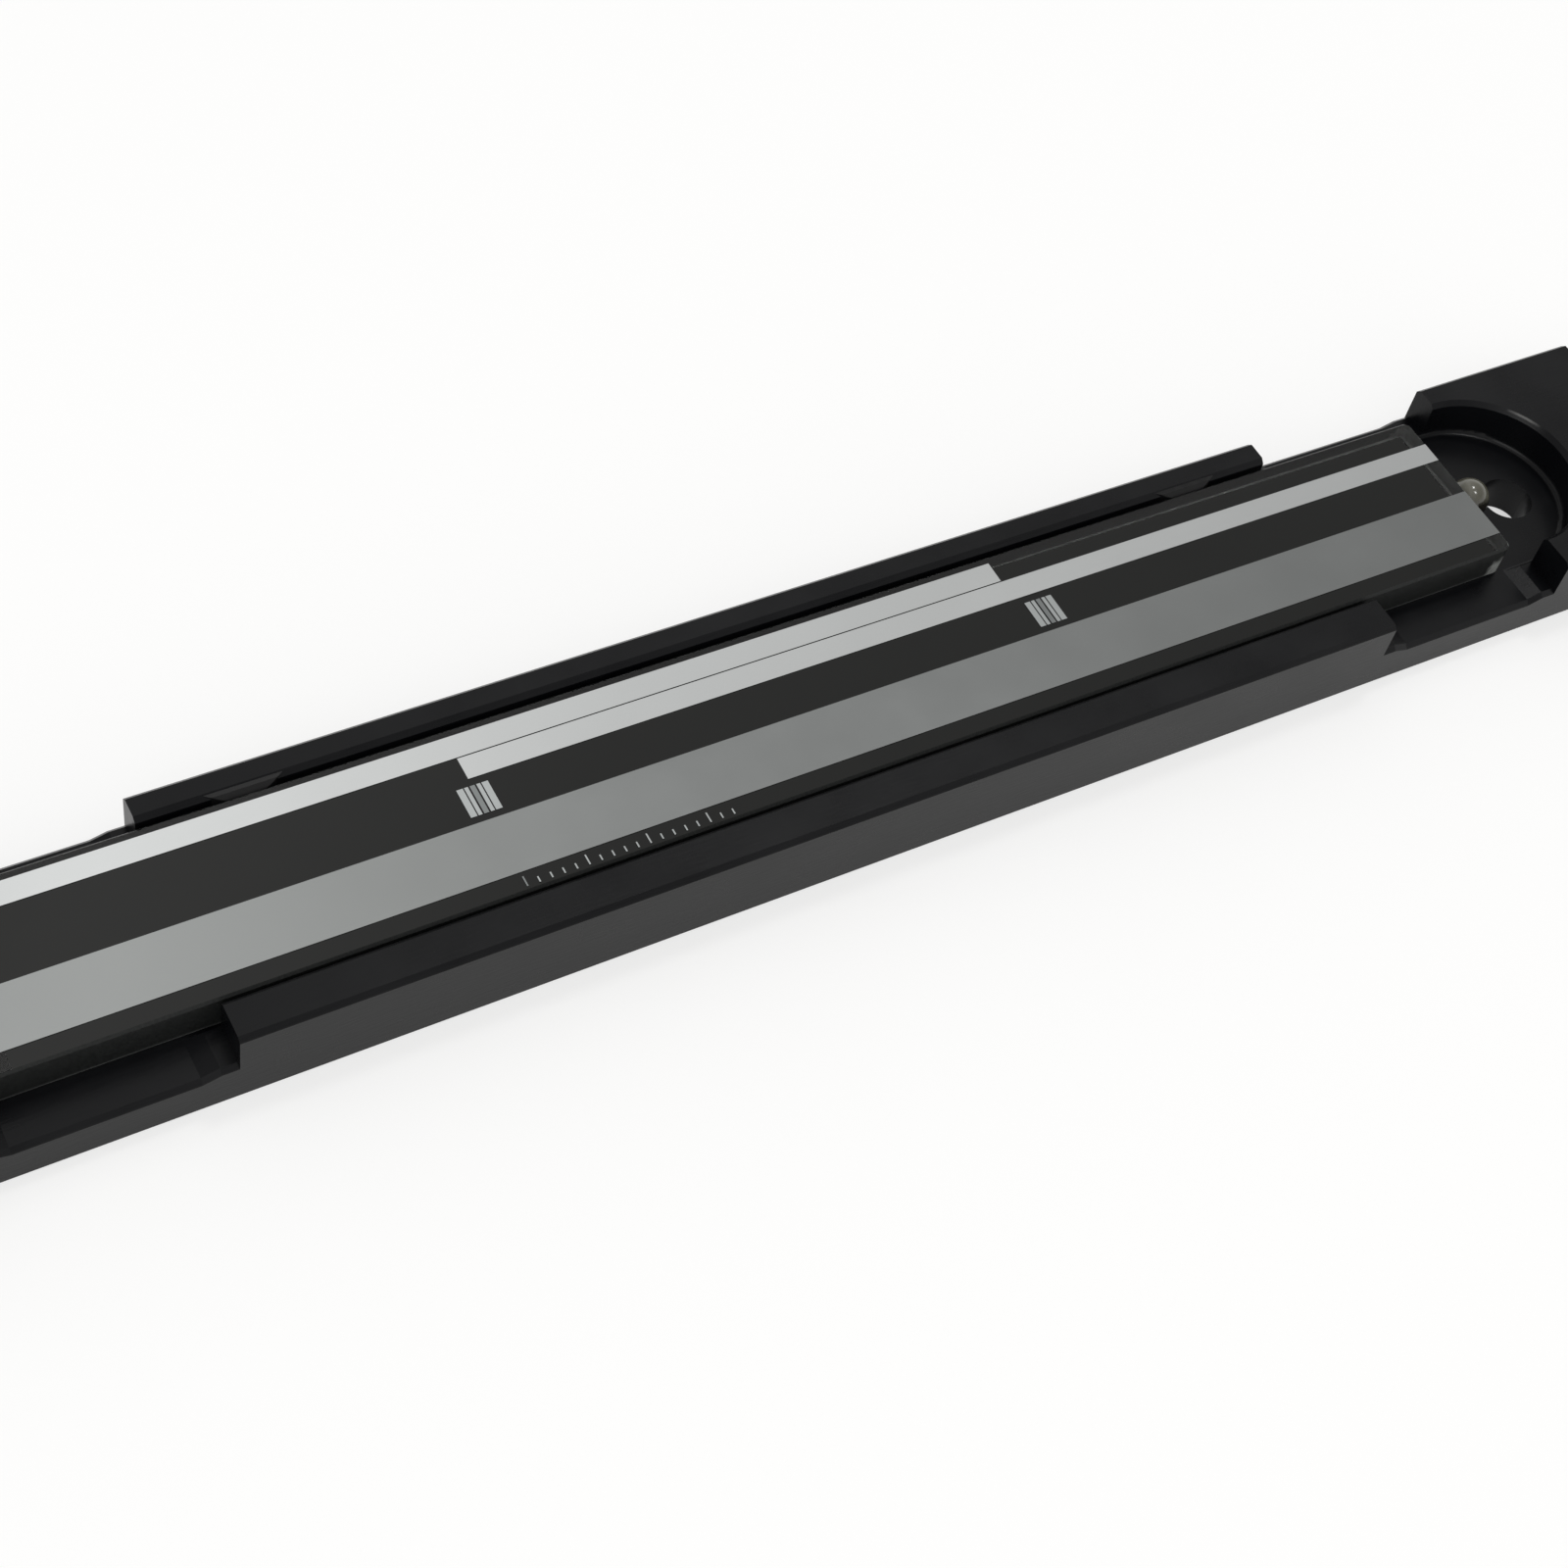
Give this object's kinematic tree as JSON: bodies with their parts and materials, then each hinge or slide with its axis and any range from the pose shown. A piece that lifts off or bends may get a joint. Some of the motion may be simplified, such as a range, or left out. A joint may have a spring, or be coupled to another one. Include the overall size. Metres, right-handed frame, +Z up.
{
  "type": "linear encoder glass scale unit",
  "caption": "Scale unit of an exposed linear encoder: a glass scale with chrome grating, index tracks and reference marks, bonded into a slotted black carrier bar with screw pockets.",
  "frame": {"origin": "middle of the carrier's bottom face", "axes": "+X along the scale, +Y across it towards the thin wall and the index tracks, +Z up from the mounting surface"},
  "size_m": [0.172, 0.0222, 0.0072],
  "materials": {
    "black_anodised": "black anodised, satin",
    "scale_glass": "clear, polished faces, ground edges",
    "grating_chrome": "fine line grating, satin grey",
    "index_chrome": "bright chrome film",
    "mark_chrome": "chrome film",
    "black_adhesive": "matt black",
    "cream_adhesive": "glossy, slightly translucent"
  },
  "bodies": {
    "root": {"carrier": "black_anodised", "glass_scale": "scale_glass", "grating_track": "grating_chrome", "inner_index_track": "index_chrome", "outer_index_track": "index_chrome", "left_reference_mark": "mark_chrome", "right_reference_mark": "mark_chrome", "tick_row": "mark_chrome", "left_side_adhesive": "black_adhesive", "right_side_adhesive": "black_adhesive", "left_end_adhesive": "cream_adhesive", "right_end_adhesive": "cream_adhesive"}
  },
  "joints": []
}
